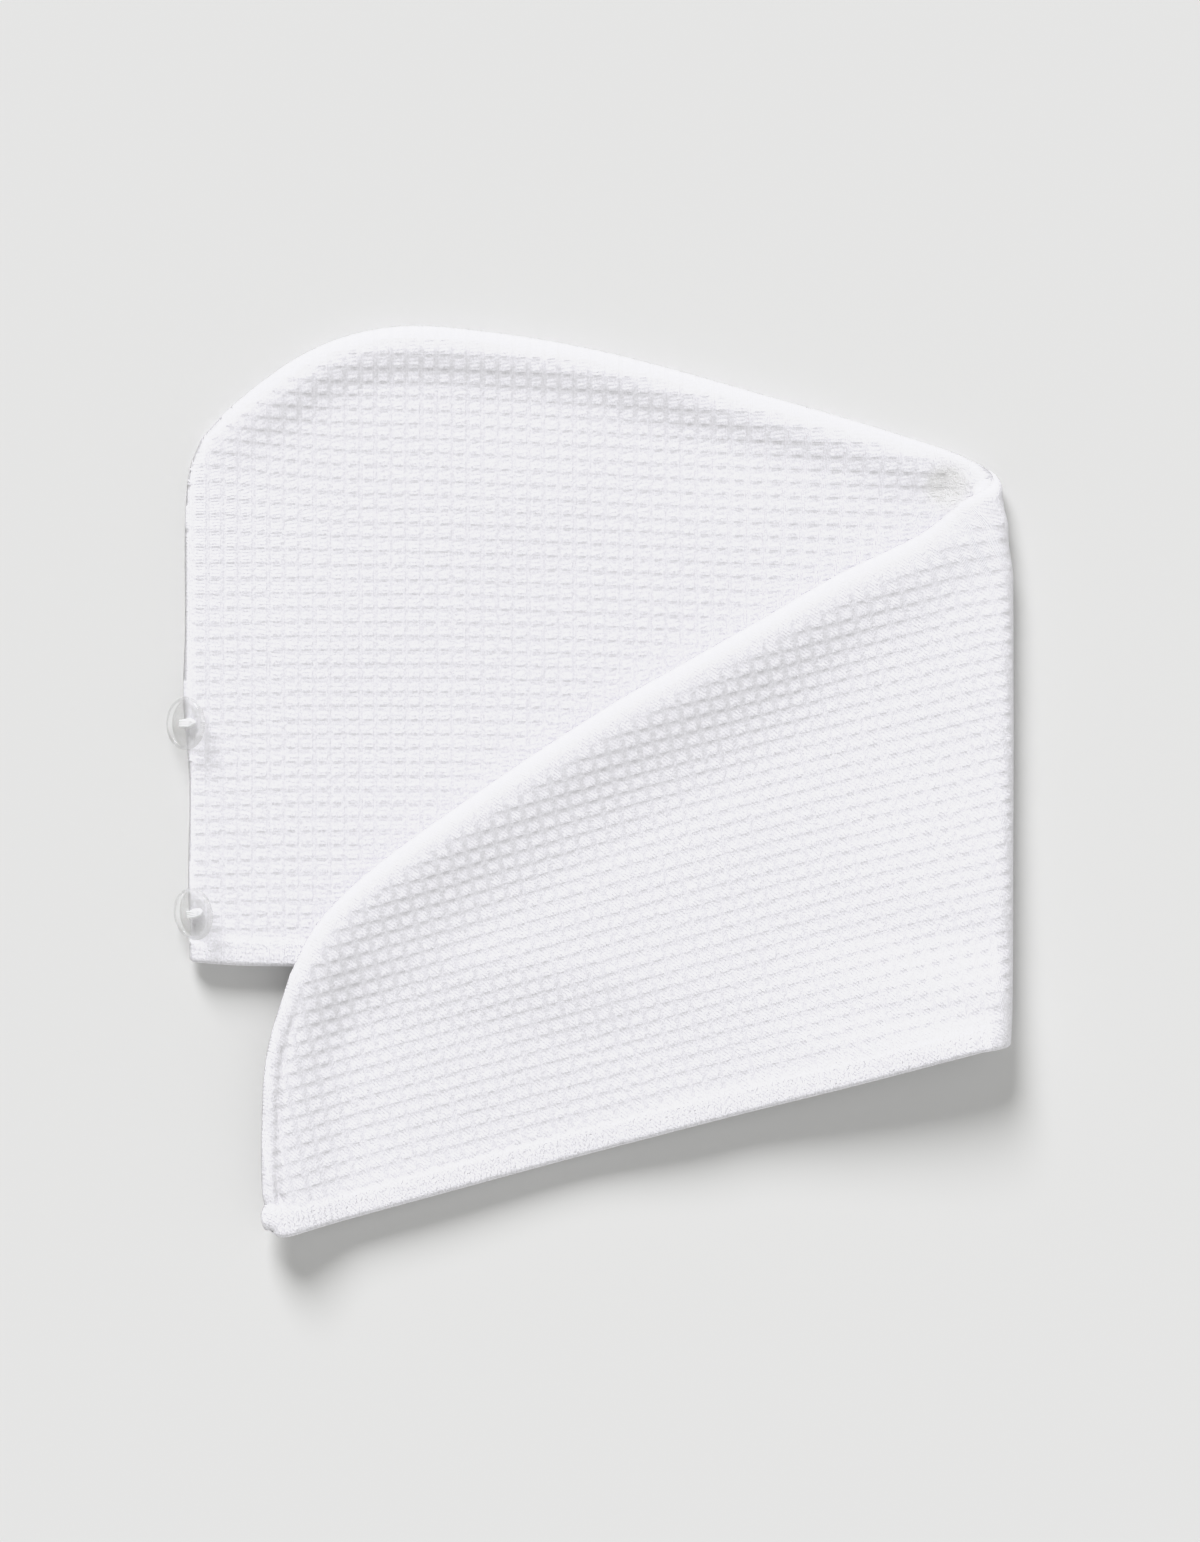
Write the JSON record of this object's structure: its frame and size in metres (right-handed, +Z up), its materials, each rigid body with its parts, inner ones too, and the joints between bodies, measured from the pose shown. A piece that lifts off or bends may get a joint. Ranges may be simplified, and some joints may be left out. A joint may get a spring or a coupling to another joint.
{
  "type": "hair towel",
  "caption": "Hooded hair towel of white waffle cloth, lying flat with its long tail folded back over the hood, with clear buttons at the nape.",
  "frame": {"origin": "on the surface that the towel lies on, under the middle of its outer box", "axes": "+Z up out of the surface; +Y towards the crown of the hood; +X towards the fold between hood and tail"},
  "size_m": [0.3478, 0.3732, 0.0242],
  "materials": {
    "waffle_cloth": "white cotton waffle weave, matt",
    "clear_button": "clear polished plastic",
    "cotton_thread": "white cotton sewing thread"
  },
  "bodies": {
    "root": {"upper_panel": "waffle_cloth", "upper_hem": "waffle_cloth", "under_panel": "waffle_cloth", "under_hem": "waffle_cloth", "button_upper": "clear_button", "button_lower": "clear_button", "thread_upper": "cotton_thread", "thread_lower": "cotton_thread"}
  },
  "joints": []
}
